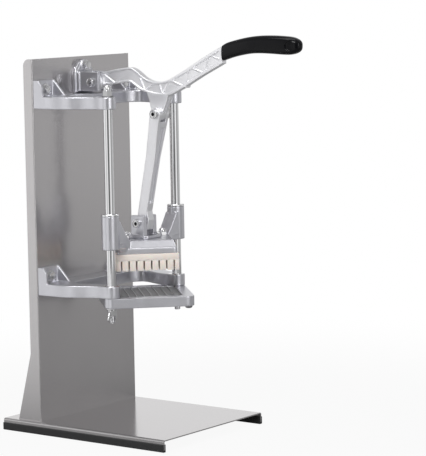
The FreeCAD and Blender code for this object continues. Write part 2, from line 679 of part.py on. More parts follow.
# =============================================================== lever
# Local origin at the pivot. An I-section arm with raised rims and diagonal ribs.
lever = Solid("lever", (0, pivot_y, D.pivot_level))
TOP = [(-9.8, 12.4), (-13.4, 13.0), (-25.8, 15.6), (-39.5, 17.8), (-49.0, 19.0), (-54.5, 19.3),
       (-59.5, 18.0), (-65.6, 14.9), (-72.2, 10.3), (-78.8, 6.2), (-85.4, 3.6), (-91.5, 2.2),
       (-97.5, 1.7), (-104.0, 1.9), (-109.5, 2.8), (-116.8, 4.9), (-125.2, 8.7), (-144.0, 18.2),
       (-158.5, 26.0), (-171.8, 33.2), (-188.5, 41.6), (-200.5, 47.2)]
LOW = [(-9.8, -4.4), (-15.7, -3.6), (-26.7, -2.5), (-39.0, -0.9), (-50.0, 0.5), (-54.5, 0.4),
       (-58.5, -1.4), (-63.3, -4.4), (-68.6, -7.6), (-75.0, -10.2), (-81.5, -12.0), (-89.1, -13.6),
       (-98.1, -15.0), (-107.1, -15.5), (-115.6, -14.9), (-124.1, -12.0), (-139.8, -4.7),
       (-152.0, 1.8), (-164.1, 8.2), (-176.1, 14.2), (-188.0, 19.9), (-200.5, 26.0)]
lever.pad(on_yz(-D.lever_half), D.lever_half * 2, curves=[[
    TOP, [TOP[-1], LOW[-1]], list(reversed(LOW)), [LOW[0], TOP[0]]]])
ey, ez = float(D.lug_y), float(D.lug_z)
LUG = [(-80.6, -9.3), (-85.1, -20.3), (ey + 8.1, ez + 1.0), (ey - 8.1, ez - 0.2),
       (-112.7, -24.3), (-116.6, -12.3)]
lever.pad(on_yz(-D.lever_half), D.lever_half * 2, loops=[LUG])
lever.pad(on_yz(-D.lever_half), D.lever_half * 2, circles=[(D.lug_y, D.lug_z, 8.1)])


def inset(points, gap, up):
    """Points moved off a curve by `gap`, up or down, and by half as much again on the arm."""
    out = []
    for i, (a, b) in enumerate(points):
        p, q = points[max(i - 1, 0)], points[min(i + 1, len(points) - 1)]
        dx, dy = q[0] - p[0], q[1] - p[1]
        n = math.hypot(dx, dy)
        nx, ny = -dy / n, dx / n
        if (ny > 0) != up:
            nx, ny = -nx, -ny
        wide = gap * (1.0 + 0.5 * min(1.0, max(0.0, (-a - 100.0) / 50.0)))
        out.append((a + nx * wide, b + ny * wide))
    return out


top_in = inset(TOP, float(D.rim_width), False)
low_in = inset(LOW, float(D.rim_width), True)
top_in[0], low_in[0] = (-12.0, 10.4), (-12.0, -1.6)
top_in[-1], low_in[-1] = (-196.5, 41.2), (-196.5, 28.6)
pocket = [top_in, [top_in[-1], low_in[-1]], list(reversed(low_in)), [low_in[0], top_in[0]]]
depth = D.lever_half - D.web_half
lever.cut(on_yz(-D.lever_half), depth, curves=[pocket])
lever.cut(on_yz(D.web_half), depth, curves=[pocket])


def strip_between(a, b, w):
    dx, dy = b[0] - a[0], b[1] - a[1]
    n = math.hypot(dx, dy)
    ox, oy = -dy / n * w / 2, dx / n * w / 2
    return [(a[0] + ox, a[1] + oy), (b[0] + ox, b[1] + oy),
            (b[0] - ox, b[1] - oy), (a[0] - ox, a[1] - oy)]


RIBS = [((-11.5, 9.8), (-29.5, -0.8)), ((-67.5, 12.8), (-78.0, -9.6)), ((-78.0, -9.6), (-93.0, 0.4)),
        ((-100.7, 0.6), (-106.3, -14.0)), ((-106.3, -14.0), (-117.0, 3.2)), ((-119.0, 4.0), (-144.0, -4.4)),
        ((-147.2, 18.0), (-144.0, -4.4)), ((-151.0, 20.3), (-172.5, 13.6)), ((-179.2, 35.2), (-172.5, 13.6)),
        ((-180.5, 36.0), (-198.0, 30.6))]
for a, b in RIBS:
    lever.pad(on_yz(-D.lever_half + 0.5), D.lever_half * 2 - 1.0,
              loops=[strip_between(a, b, float(D.rib_width))])
# Lug: a hole for the bolt, and a groove down its front edge.
lever.cut(on_yz(-D.lever_half), D.lever_half * 2, circles=[(D.lug_y, D.lug_z, D.pin_d / 2 + 0.15)])
lever.cut(on_yz(-3.2), 3.8, loops=[[(-118.0, -17.6), (-112.4, -17.6), (-110.2, -24.0), (ey - 6.4, ez + 1.0),
                                    (ey - 12.0, ez + 1.0)]])
# Tongue: carries a round hub on the pivot bolt.
lever.pad(on_yz(-D.lever_half), D.lever_half * 2, loops=[[
    (-12.0, 12.6), (-2.0, 10.2), (8.0, 6.0), (8.0, -6.0), (-2.0, -9.6), (-12.0, -4.2)]])
lever.pad(on_yz(-D.cheek_in + 0.2), D.cheek_in * 2 - 0.4, circles=[(0.0, 0.0, 9.8)])
lever.cut(on_yz(-10.0), 20.0, circles=[(0.0, 0.0, D.pin_d / 2 + D.running_gap)])
# Tang: runs on inside the grip.
lever.pad(on_yz(-4.0), 8.0, loops=[[(-199.0, 43.0), (-230.0, 50.4), (-262.0, 53.6), (-262.0, 45.8),
                                    (-230.0, 42.2), (-199.0, 34.8)]])
node(lever.body)

seat = D.fork_half + 0.1
bolt = node(socket_screw((-seat, lug_y, lug_z), LEFT, D.pin_d / 2, seat * 2 + 7.0, 6.4, 4.8, 6.0))
bolt.Label = "lug_bolt"
nut = node(hex_nut((seat, lug_y, lug_z), X_AXIS, 4.05, 13.0, 6.0))
nut.Label = "lug_nut"

# =============================================================== grip
# A loft through ovals that lie across the grip's centre line.
grip = Solid("grip", (0, pivot_y, D.pivot_level))
CENTRE = [(-200.8, 39.1, 0.0, 9.6, 9.0), (-211.0, 42.6, 13.0, 9.8, 9.2), (-226.0, 46.0, 11.0, 10.0, 9.3),
          (-242.0, 48.6, 7.0, 10.3, 9.4), (-258.0, 49.7, 2.0, 10.8, 9.5), (-275.0, 49.6, -2.0, 11.2, 9.6),
          (-291.0, 48.9, -2.5, 11.3, 9.6), (-302.0, 48.4, -2.5, 10.7, 9.2), (-309.5, 48.1, -2.5, 8.6, 7.6),
          (-313.8, 48.0, -2.5, 5.8, 5.2), (-315.7, 47.9, -2.5, 2.9, 2.6)]
sections = []
for y, z, lean, half_h, half_w in CENTRE:
    sk = doc.addObject("Sketcher::SketchObject", "Oval")
    grip.body.addObject(sk)
    turn = FreeCAD.Rotation(V(1, 0, 0), -lean).multiply(FreeCAD.Rotation(V(1, 0, 0), 90))
    sk.Placement = FreeCAD.Placement(V(0, y, z), turn)
    sk.addGeometry(Part.Ellipse(V(0, half_h, 0), V(half_w, 0, 0), V(0, 0, 0)), False)
    sections.append(sk)
grip.loft(sections)
grip.cut(on_yz(-4.3), 8.6, loops=[[(-195.0, 42.4), (-230.0, 50.75), (-262.3, 54.0), (-262.3, 45.45),
                                   (-230.0, 41.85), (-195.0, 33.5)]])
node(grip.body)

# =============================================================== link
# From the lug to the clevis; local -Z runs down the link and the origin is the lug pin.
by, bz = float(rod_y) - float(lug_y), float(clevis_level) - float(lug_z)
link_len = math.hypot(by, bz)
lean = math.degrees(math.atan2(by, -bz))
link = Solid("link", (0, lug_y, lug_z), (1, 0, 0), lean)
fh, sk_h = float(D.fork_half), float(D.link_half)
FLARE_END = -54.0
link.loft([draw(link.body, on_xy(-9.4), loops=[box_loop(-fh, -7.4, fh, 7.4)]),
           draw(link.body, on_xy(FLARE_END), loops=[box_loop(-sk_h, -7.4, sk_h, 7.4)])])
link.loft([draw(link.body, on_xy(FLARE_END), loops=[box_loop(-sk_h, -7.4, sk_h, 7.4)]),
           draw(link.body, on_xy(-link_len + 21.0), loops=[box_loop(-sk_h, -7.0, sk_h, 7.0)])])
# Fork: two arms with round ends, either side of the lug.
arm_in = D.lever_half + 0.3
for x in (-D.fork_half, arm_in):
    link.pad(on_yz(x), D.fork_half - arm_in, circles=[(0.0, 0.0, 8.1)])
    link.pad(on_yz(x), D.fork_half - arm_in, loops=[[(-8.1, 0.0), (-7.4, -10.0), (7.4, -10.0), (8.1, 0.0)]])
link.cut(on_yz(-D.fork_half), D.fork_half * 2, circles=[(0.0, 0.0, D.pin_d / 2 + D.running_gap)])
# Foot: a stirrup round the clevis bolt, hidden between the ears.
lz = -link_len
link.pad(on_yz(-D.link_half), D.link_half * 2, loops=[[
    (-7.0, lz + 26.0), (7.0, lz + 26.0), (7.0, lz - 5.4), (4.4, lz - 8.6), (-8.4, lz - 8.6),
    (-11.5, lz - 5.6), (-11.5, lz + 7.0), (-7.0, lz + 17.0)]])
link.cut(on_yz(-D.link_half), D.link_half * 2, loops=[box_loop(-9.6, lz - 6.7, 4.0, lz + 4.0)])
for s in (-1, 1):
    link.cut(on_xz(-3.4 if s > 0 else 9.0), 5.6, loops=[[
        (-4.0, lz + 28.0), (4.0, lz + 28.0), (4.1, FLARE_END), (5.1, -17.0), (-5.1, -17.0), (-4.1, FLARE_END)]])
node(link.body)

# =============================================================== carriage
# A square plate turned 45 degrees with a raised table, joined by ribs to two tall bosses.
plate_low = D.comb_bottom + D.comb_height
rim_top = plate_low + D.plate_thick
table = rim_top + D.table_rise
carriage = Solid("carriage", (0, rod_y, 0))
ph, th = D.plate_half, D.table_half
carriage.pad(on_xy(plate_low), D.plate_thick, loops=[[(-ph, 0.0), (0.0, -ph), (ph, 0.0), (0.0, ph)]])
carriage.fillet(4.0, lambda e: along(e, Z))
sh = ph - 1.6
carriage.loft([
    draw(carriage.body, on_xy(rim_top), loops=[[(-sh, 0.0), (0.0, -sh), (sh, 0.0), (0.0, sh)]]),
    draw(carriage.body, on_xy(table), loops=[[(-th, 0.0), (0.0, -th), (th, 0.0), (0.0, th)]])])
for s in (-1, 1):
    carriage.pad(on_xy(boss_low), D.boss_tall,
                 circles=[(s * D.rod_half_pitch, 0.0, D.boss_d / 2)])
    # Gusset from the boss to the table, as wide as the boss and scooped down at its inner end.
    x_out = s * (float(D.rod_half_pitch) - 4.0)
    z0, z1 = float(plate_low), float(boss_low + D.boss_tall)
    scoop = [(s * 57.5, z1 - 7.5), (s * 53.5, z1 - 14.2), (s * 49.0, z1 - 21.2), (s * 44.8, z1 - 27.2),
             (s * 39.0, z1 - 33.6), (s * 33.0, z1 - 38.0)]
    carriage.pad(on_xz(9.0), 18.0, curves=[[
        [(x_out, z0 + 8.0), (x_out, z1 - 6.5)], [(x_out, z1 - 6.5), scoop[0]], scoop,
        [scoop[-1], (s * 33.0, z0 + 8.0)], [(s * 33.0, z0 + 8.0), (x_out, z0 + 8.0)]]])
    # Skirt that carries the plate's corner up to the boss.
    carriage.loft([
        draw(carriage.body, on_xy(plate_low + 3.0), loops=[[
            (s * 34.0, -14.0), (s * 52.6, -4.4), (s * 52.6, 4.4), (s * 34.0, 14.0)]]),
        draw(carriage.body, on_xy(table - 1.0), loops=[[
            (s * 34.0, -9.0), (s * 66.0, -9.4), (s * 66.0, 9.4), (s * 34.0, 9.0)]])])
    carriage.cut(on_xy(boss_low - 8.0), D.boss_tall + 8.0,
                 circles=[(s * D.rod_half_pitch, 0.0, D.bush_d / 2)])
CLEVIS_SCREWS = ((11.5, -14.2), (-11.5, 14.2))
STUDS = ((28.6, -7.6), (-28.6, 7.6))
through = D.plate_thick + D.table_rise + 0.2
carriage.cut(on_xy(plate_low), through, circles=[(x, y, 2.6) for x, y in STUDS])
carriage.cut(on_xy(table - 10.0), 10.2, circles=[(x, y, 1.7) for x, y in CLEVIS_SCREWS])
for s in (-1, 1):
    # Spot face for each cap nut.
    carriage.cut(on_xy(table), 9.0, circles=[(s * 28.6, -s * 7.6, 6.0)])
node(carriage.body)

for side, s in (("left", -1), ("right", 1)):
    low_z = boss_low
    bush = take(fuse(cyl(D.bush_d / 2, D.boss_tall, (s * D.rod_half_pitch, rod_y, low_z)),
                     cyl(D.boss_d / 2, 2.6, (s * D.rod_half_pitch, rod_y, low_z + D.boss_tall))),
                cyl(D.rod_d / 2 + D.running_gap, D.boss_tall + 2.6,
                    (s * D.rod_half_pitch, rod_y, low_z)))
    bush.Label = f"guide_bush_{side}"
    node(bush)

# Clevis: a flanged casting with two ears.
clevis = Solid("clevis", (0, rod_y, table))
clevis.pad(on_xy(0.0), 4.0, loops=[box_loop(-17.0, -18.0, 17.0, 18.0)])
clevis.fillet(7.0, lambda e: along(e, Z))
rise = clevis_level - table
ear_top = rise + 10.1
for s in (-1, 1):
    x = -D.ear_out if s < 0 else D.ear_in
    ears = [(-D.ear_depth / 2, 0.0), (D.ear_depth / 2, 0.0), (D.ear_depth / 2 - 0.6, ear_top),
            (-D.ear_depth / 2 + 0.6, ear_top)]
    clevis.pad(on_yz(x), D.ear_out - D.ear_in, loops=[ears])
clevis.cut(on_yz(-D.ear_out), D.ear_out * 2, circles=[(0.0, rise, D.clevis_bolt_d / 2 + 0.15)])
clevis.cut(on_xy(0.0), 4.0, circles=[(x, y, 2.1) for x, y in CLEVIS_SCREWS])
clevis.fillet(1.5, lambda e: along(e, X) and at(mid(e).z, ear_top))
node(clevis.body)
cap = []
for x, y in CLEVIS_SCREWS:
    cap.append(socket_screw((x, rod_y + y, table + 4.0), Z_AXIS, 1.65, 12.0, 3.0, 3.2, 2.6))
node(group("clevis_screws", cap))
bolt = node(socket_screw((-D.ear_out, rod_y, clevis_level), LEFT, D.clevis_bolt_d / 2,
                         D.ear_out * 2 + 5.5, 6.2, 3.6, 5.4))
bolt.Label = "clevis_bolt"
nut = node(hex_nut((D.ear_out, rod_y, clevis_level), X_AXIS, 3.05, 10.0, 5.0))
nut.Label = "clevis_nut"

# =============================================================== pusher block
comb = Solid("pusher_block", (0, rod_y, D.comb_bottom), (0, 0, 1), 45.0)
ch = D.comb_side / 2
comb.pad(on_xy(0.0), D.comb_height, loops=[box_loop(-ch, -ch, ch, ch)])
comb.fillet(3.0, lambda e: along(e, Z))
for swap in (False, True):
    a0, a1 = -D.cut_pitch * 3.5 - D.comb_slot / 2, -D.cut_pitch * 3.5 + D.comb_slot / 2
    ends = D.comb_side / 2 + 1
    first = [(-ends, a0), (ends, a0), (ends, a1), (-ends, a1)]
    if swap:
        first = [(b, a) for a, b in first]
    slot = comb.cut(on_xy(0.0), D.comb_slot_depth, loops=[first])
    comb.repeat(slot, "H_Axis" if swap else "V_Axis", D.cut_pitch * 7, 8)
hole = 1 / ROOT2
comb.cut(on_xy(D.comb_slot_depth + 1), D.comb_height, circles=[
    ((x + y) * hole, (y - x) * hole, 2.5) for x, y in STUDS])
node(comb.body)

studs, domes = [], []
for x, y in STUDS:
    foot = D.comb_bottom + D.comb_slot_depth + 1
    studs.append(cyl(2.45, table - foot + 5.0, (x, rod_y + y, foot)))
    # Cap nut: a hexagon under a ball.
    seat = (x, rod_y + y, table)
    shell = fuse(both(hexa(10.0, 5.0, seat), cone(7.0, 5.4, 5.0, seat)),
                 both(ball(4.9, (x, rod_y + y, table + 5.2)), cyl(5.2, 10.4, seat)))
    domes.append(take(shell, cyl(2.55, 6.6, seat)))
node(group("pusher_studs", studs))
node(group("pusher_cap_nuts", domes))

# =============================================================== check and export
doc.recompute()
faults = []
for obj in doc.Objects:
    if any(flag in ("Invalid", "Error") for flag in obj.State):
        faults.append(f"{obj.Name} ({obj.Label}) state {obj.State}")
os.makedirs("parts", exist_ok=True)
for obj in NODES:
    shape = obj.Shape
    if shape.isNull() or not shape.isValid() or not shape.Solids:
        faults.append(f"{obj.Label} has no valid shape")
        continue
    if not obj.isDerivedFrom("Part::Compound") and len(shape.Solids) != 1:
        faults.append(f"{obj.Label} has {len(shape.Solids)} solids")
if faults:
    raise ValueError("; ".join(faults))
total = Part.makeCompound([obj.Shape for obj in NODES]).BoundBox
for obj in NODES:
    obj.Shape.exportStep(f"parts/{obj.Label}.step")
    b = obj.Shape.BoundBox
    print(f"{obj.Label:26s} solids {len(obj.Shape.Solids):2d}  faces {len(obj.Shape.Faces):4d}  "
          f"x {b.XMin:7.1f} {b.XMax:7.1f}  y {b.YMin:7.1f} {b.YMax:7.1f}  z {b.ZMin:6.1f} {b.ZMax:6.1f}")
print("nodes", len(NODES), "box", [round(v, 2) for v in (
    total.XMin, total.XMax, total.YMin, total.YMax, total.ZMin, total.ZMax)])
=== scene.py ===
"""Looks of an upright lever press that cuts potatoes into fries.

Pieces are drawn in millimetres; camera, studio and finishes are in metres.
"""
import bmesh
import bpy
import math
from mathutils import Matrix, Vector


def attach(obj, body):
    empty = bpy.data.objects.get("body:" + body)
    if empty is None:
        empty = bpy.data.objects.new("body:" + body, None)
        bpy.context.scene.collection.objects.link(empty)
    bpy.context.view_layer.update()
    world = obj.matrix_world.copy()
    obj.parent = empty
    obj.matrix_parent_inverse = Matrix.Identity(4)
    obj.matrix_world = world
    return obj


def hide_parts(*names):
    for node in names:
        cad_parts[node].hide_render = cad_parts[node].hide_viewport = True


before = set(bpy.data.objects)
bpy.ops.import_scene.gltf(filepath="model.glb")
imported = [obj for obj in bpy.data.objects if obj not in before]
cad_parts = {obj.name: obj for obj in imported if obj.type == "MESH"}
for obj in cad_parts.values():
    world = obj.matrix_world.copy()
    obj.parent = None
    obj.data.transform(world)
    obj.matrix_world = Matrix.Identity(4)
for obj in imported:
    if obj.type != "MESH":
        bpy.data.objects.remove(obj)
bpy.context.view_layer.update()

# --- Camera -------------------------------------------------------------------
# Stands to the machine's front left, a little above its top bracket, and is
# rolled by about a degree.
CAMERA_SPOT = (-2.2088, -1.71425, 0.5902)
IMAGE_HEIGHT = 456
FOCAL_PIXELS = 2230.93
AZIMUTH, ELEVATION, ROLL = math.radians(-53.241), math.radians(6.701), math.radians(-0.963)
back = Vector((math.sin(AZIMUTH) * math.cos(ELEVATION),
               -math.cos(AZIMUTH) * math.cos(ELEVATION), math.sin(ELEVATION)))
level_right = Vector((math.cos(AZIMUTH), math.sin(AZIMUTH), 0.0))
level_up = back.cross(level_right)
right = math.cos(ROLL) * level_right + math.sin(ROLL) * level_up
up = -math.sin(ROLL) * level_right + math.cos(ROLL) * level_up
camera = bpy.data.objects.new("camera", bpy.data.cameras.new("camera"))
camera.data.sensor_width = 36.0
camera.data.lens = FOCAL_PIXELS * camera.data.sensor_width / IMAGE_HEIGHT
camera.data.clip_end = 60.0
camera.matrix_world = Matrix.Translation(CAMERA_SPOT) @ Matrix(
    (right, up, back)).transposed().to_4x4()
bpy.context.scene.collection.objects.link(camera)
bpy.context.scene.camera = camera
bpy.context.scene.view_settings.view_transform = "Standard"


# --- Studio -------------------------------------------------------------------
# A white floor, and a pale studio whose soft darker screens show in the metal as grey
# bands. Three soft boxes light the machine from its left, above and front.
class Wire:
    """A value inside a finish. Arithmetic on it adds Math nodes."""

    def __init__(self, finish, socket):
        self.finish, self.socket = finish, socket

    def _math(self, operation, *values):
        return self.finish.add("Math", {"operation": operation}, *values)

    def __add__(self, other): return self._math("ADD", self, other)
    def __radd__(self, other): return self._math("ADD", other, self)
    def __sub__(self, other): return self._math("SUBTRACT", self, other)
    def __rsub__(self, other): return self._math("SUBTRACT", other, self)
    def __mul__(self, other): return self._math("MULTIPLY", self, other)
    def __rmul__(self, other): return self._math("MULTIPLY", other, self)
    def __truediv__(self, other): return self._math("DIVIDE", self, other)
    def __rtruediv__(self, other): return self._math("DIVIDE", other, self)


class Finish:
    """A material or world: its nodes, and the sockets that they feed."""

    def __init__(self, name, **fixed):
        self.mat = bpy.data.materials.new(name)
        self.mat.use_nodes = True
        self.tree = self.mat.node_tree
        self.shader = self.tree.nodes["Principled BSDF"].inputs
        for socket, value in fixed.items():
            self.shader[socket.replace("_", " ")].default_value = value

    def add(self, kind, settings, *values, out=0, **named):
        """A node of this kind, its settings first, then values or wires for its sockets."""
        n = self.tree.nodes.new("ShaderNode" + kind)
        for key, value in settings.items():
            if key == "stops":
                ramp = n.color_ramp.elements
                while len(ramp) < len(value):
                    ramp.new(0.5)
                for stop, (at, colour) in zip(ramp, value):
                    stop.position, stop.color = at, (*colour, 1.0)
            else:
                setattr(n, key, value)
        for key, value in [*enumerate(values), *named.items()]:
            self.put(n.inputs[key], value)
        return Wire(self, n.outputs[out])

    def put(self, socket, value):
        if isinstance(value, Wire):
            self.tree.links.new(value.socket, socket)
        else:
            socket.default_value = value

    def place(self, stretch):
        """Where a point lies on its piece, stretched by x, y and z."""
        spot = self.add("TexCoord", {}, out="Object")
        return self.add("Mapping", {}, spot, Scale=stretch)

    def noise(self, stretch, detail=2.0, rough=0.5):
        """Smooth noise from 0 to 1; stretch says how many patches lie along a metre."""
        return self.add("TexNoise", {}, out="Fac", Vector=self.place(stretch), Scale=1.0,
                        Detail=detail, Roughness=rough)

    def tint(self, factor, dark, light):
        """A colour between two, by a wire from 0 to 1."""
        return self.add("ValToRGB", {"stops": [(0.0, dark), (1.0, light)]}, factor)

    def bump(self, height, distance, strength=1.0):
        """Raises the surface by up to `distance`, in metres."""
        self.put(self.shader["Normal"], self.add(
            "Bump", {}, out="Normal", Strength=strength, Distance=distance, Height=height))


FLOOR_RADIUS = 1.6
PALE, SHADED = (0.86, 0.86, 0.86), (0.34, 0.34, 0.34)
WHITE = (1.0, 1.0, 1.0, 1.0)
floor_mesh = bpy.data.meshes.new("floor")
disc = bmesh.new()
bmesh.ops.create_circle(disc, cap_ends=True, radius=FLOOR_RADIUS, segments=96)
disc.to_mesh(floor_mesh)
disc.free()
floor = bpy.data.objects.new("floor", floor_mesh)
bpy.context.scene.collection.objects.link(floor)
paper = Finish("white_floor", Roughness=0.9)
on_floor = paper.place((1, 1, 1))
# The floor darkens towards the machine's front right, and shows white to the camera.
shade_side = paper.add("VectorMath", {"operation": "DOT_PRODUCT"}, on_floor, (0.8, -0.6, 0.0), out="Value")
paper.put(paper.shader["Base Color"], paper.tint(
    paper.add("MapRange", {}, shade_side, -0.75, -0.2, 0.0, 1.0), PALE, SHADED))
rays = paper.tree.nodes.new("ShaderNodeLightPath")
from_middle = paper.add("VectorMath", {"operation": "LENGTH"}, on_floor, out="Value")
fade = paper.add("MapRange", {"interpolation_type": "SMOOTHSTEP"}, from_middle, 0.3, 1.0, 0.93, 1.0)
seen = Wire(paper, rays.outputs["Is Camera Ray"]) * fade
mirrored = Wire(paper, rays.outputs["Is Glossy Ray"]) * 0.05
glow = paper.add("Emission", {}, WHITE, 1.0)
both = paper.add("MixShader", {}, seen + mirrored)
paper.put(both.socket.node.inputs[1], Wire(paper, paper.tree.nodes["Principled BSDF"].outputs[0]))
paper.put(both.socket.node.inputs[2], glow)
paper.put(paper.tree.nodes["Material Output"].inputs["Surface"], both)
floor_mesh.materials.append(paper.mat)

sky = bpy.data.worlds.new("studio")
bpy.context.scene.world = sky
sky.use_nodes = True
room = Finish.__new__(Finish)
room.tree = sky.node_tree
heading = room.add("TexCoord", {}, out="Generated")
apart = room.tree.nodes.new("ShaderNodeSeparateXYZ")
room.put(apart.inputs[0], heading)
east, north, high = (Wire(room, apart.outputs[k]) for k in range(3))
# Walls all round, from behind the machine (0) by its left, front (0.5) and right to 1.
bearing = room.add("Math", {"operation": "ARCTAN2"}, east, 0.0 - north) / (2 * math.pi) + 0.5
walls = room.add("ValToRGB", {"stops": [(at, (v, v, v)) for at, v in (
    (0.00, 0.45), (0.05, 1.10), (0.13, 1.05), (0.17, 0.65), (0.20, 0.65), (0.23, 1.05), (0.28, 1.00),
    (0.31, 0.12), (0.36, 0.16), (0.40, 0.45), (0.43, 1.10), (0.48, 1.10), (0.52, 0.35), (0.59, 0.45),
    (0.64, 0.66), (0.72, 0.62), (0.79, 0.30), (0.83, 1.00), (0.92, 1.00), (1.00, 0.45))]}, bearing)
# The walls' darker parts fade with height, and a grey ceiling takes over.
CEILING = 0.48
overhead = room.add("MapRange", {"interpolation_type": "SMOOTHSTEP"}, high, 0.12, 0.6, 0.0, 1.0)
near_level = room.add("MapRange", {"interpolation_type": "SMOOTHSTEP"}, high, 0.0, 0.12, 1.0, 0.72)
bright = room.add("MapRange", {"interpolation_type": "SMOOTHSTEP"}, walls, 0.6, 0.9, 0.0, 1.0)
lit = walls * (near_level + (1.0 - near_level) * bright) * (1.0 - overhead) + overhead * CEILING
rays = room.tree.nodes.new("ShaderNodeLightPath")
camera_ray = Wire(room, rays.outputs["Is Camera Ray"])
air = sky.node_tree.nodes["Background"]
air.inputs["Color"].default_value = WHITE
room.put(air.inputs["Strength"], lit * (1.0 - camera_ray) + camera_ray)


def soft_box(name, spot, aim, width, height, watts):
    """A square lamp at a spot, turned towards its aim."""
    lamp = bpy.data.lights.new(name, "AREA")
    lamp.shape, lamp.size, lamp.size_y, lamp.energy = "RECTANGLE", width, height, watts
    box = bpy.data.objects.new(name, lamp)
    box.location = spot
    box.rotation_euler = (Vector(spot) - Vector(aim)).to_track_quat("Z", "Y").to_euler()
    bpy.context.scene.collection.objects.link(box)


soft_box("key_box", (-2.1, -0.5, 2.0), (0.0, 0.0, 0.25), 1.0, 1.0, 26.0)
soft_box("top_box", (-0.35, 0.25, 2.1), (0.0, 0.0, 0.4), 0.6, 1.8, 12.0)
soft_box("fill_box", (-0.9, -2.2, 1.0), (0.0, 0.0, 0.25), 0.6, 1.4, 9.0)

# --- Stainless stand ----------------------------------------------------------
# The base plate and the back panel are 1.5 mm stainless sheet, folded at their sides,
# with a fine grain that runs up the panel and front to back on the base.
def stainless(name, grain, rough, smear):
    """Brushed sheet, its grain's fineness given along x, y and z."""
    f = Finish(name, Metallic=1.0, Anisotropic=smear, Anisotropic_Rotation=0.25)
    lines = f.noise(grain, detail=3.0)
    smudge = f.noise((9.0, 9.0, 5.0), detail=3.0)
    f.put(f.shader["Base Color"], f.tint(lines * 0.5 + smudge * 0.5, (0.50, 0.485, 0.49),
                                         (0.61, 0.595, 0.60)))
    f.put(f.shader["Roughness"], rough + (lines - 0.5) * 0.04 + (smudge - 0.5) * 0.04)
    f.bump(lines, 0.00001, 0.15)
    return f.mat


def dress(node, material):
    """Give a node that keeps its own shape its finish."""
    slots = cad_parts[node].data.materials
    slots.clear()
    slots.append(material)


dress("back_panel", stainless("upright_grain", (2400.0, 2400.0, 14.0), 0.21, 0.9))
dress("base_plate", stainless("lengthwise_grain", (2400.0, 14.0, 2400.0), 0.15, 0.0))

# --- Rubber edging ------------------------------------------------------------
# Matt black extruded rubber, a strip pushed on each folded skirt, on which the whole
# machine stands.
rubber = Finish("black_rubber", Base_Color=(0.018, 0.018, 0.019, 1), Roughness=0.6)
specks = rubber.noise((900.0, 900.0, 900.0))
rubber.put(rubber.shader["Roughness"], 0.5 + specks * 0.2)
rubber.bump(specks, 0.00006, 0.4)
for side in ("left", "right"):
    dress(f"rubber_strip_{side}", rubber.mat)

# --- Sheet screws -------------------------------------------------------------
# Three zinc-plated M5 hex screws hold the panel's folded tab on the base plate, each
# with a nut under the plate.
MM = 0.001
PANEL_FACE, BASE_TOP, SHEET = 142.75, 15.0, 1.5
TAB_SCREW_Y = PANEL_FACE + 20.4
M5 = 2.5, 0.8  # a thread's radius and pitch
ROUND, FINE = 48, 72  # points round a turned piece, and round a hexagon


def stand_on(spot, way="+z", turn=0.0):
    """A frame in millimetres whose z axis leaves `spot` along the given way."""
    tip = {"+z": (0.0, "X"), "-z": (math.pi, "X"), "+x": (math.pi / 2, "Y"),
           "-x": (-math.pi / 2, "Y"), "+y": (-math.pi / 2, "X"), "-y": (math.pi / 2, "X")}[way]
    return (Matrix.Scale(MM, 4) @ Matrix.Translation(spot) @ Matrix.Rotation(tip[0], 4, tip[1])
            @ Matrix.Rotation(math.radians(turn), 4, "Z"))


def skin(bm, rings, place, tube=False):
    """A closed skin through rings with equal numbers of points; a tube meets itself."""
    rows = [[bm.verts.new(place @ Vector(point)) for point in ring] for ring in rings]
    count = len(rows[0])
    made = []
    for low, high in zip(rows, rows[1:] + ([rows[0]] if tube else [])):
        for i in range(count):
            j = (i + 1) % count
            made.append(bm.faces.new((low[i], low[j], high[j], high[i])))
    if not tube:
        made += [bm.faces.new(rows[0][::-1]), bm.faces.new(rows[-1])]
    return made


def turned(bm, profile, place, tube=False):
    """A turned solid from (radius, height) pairs."""
    skin(bm, [[(r * math.cos(t), r * math.sin(t), z)
               for t in (2 * math.pi * i / ROUND for i in range(ROUND))] for r, z in profile],
         place, tube)


def six_sided(flats, around):
    """Distances from a hexagon's middle to its sides, at angles around it."""
    return [flats / 2 / math.cos((t + math.pi / 6) % (math.pi / 3) - math.pi / 6) for t in around]


def hexagon(bm, flats, height, place, bore=None, crowned=False):
    """A hexagon with turned-off corners: a nut where it has a bore, else a bolt's head."""
    around = [2 * math.pi * i / FINE for i in range(FINE)]
    sides = six_sided(flats, around)
    seat = flats * 0.48
    worn = [(r - seat) * 0.58 for r in sides]

    def ring(radii, levels):
        return [(r * math.cos(t), r * math.sin(t), z) for r, t, z in zip(radii, around, levels)]

    def circle(radius, level):
        return ring([radius] * FINE, [level] * FINE)

    rings = [circle(seat, 0.0), ring(sides, worn if bore else [0.0] * FINE),
             ring(sides, [height - w for w in worn]), circle(seat, height)]
    if crowned:
        rings.append(circle(seat * 0.8, height + 0.25))
    if bore:
        rings += [circle(bore + 0.4, height), circle(bore, height - 0.4), circle(bore, 0.4),
                  circle(bore + 0.4, 0.0)]
    skin(bm, rings, place, tube=bore is not None)


def thread(bm, size, low, high, place):
    """A threaded end, its ridge winding up a cylinder, with a small lead-in at the tip."""
    (radius, pitch), steps = size, 8
    rings = []
    for k in range(int((high - low) / pitch * steps) + 1):
        z = low + k * pitch / steps
        tip = min(1.0, (high - z) / (pitch * 0.8) * 0.6 + 0.4)
        rings.append([])
        for i in range(ROUND):
            ridge = abs((z / pitch - i / ROUND) % 1.0 - 0.5) * 2
            r = (radius - 0.55 * pitch * ridge) * (0.82 + 0.18 * tip)
            rings[-1].append((r * math.cos(2 * math.pi * i / ROUND),
                              r * math.sin(2 * math.pi * i / ROUND), z))
    skin(bm, rings, place)


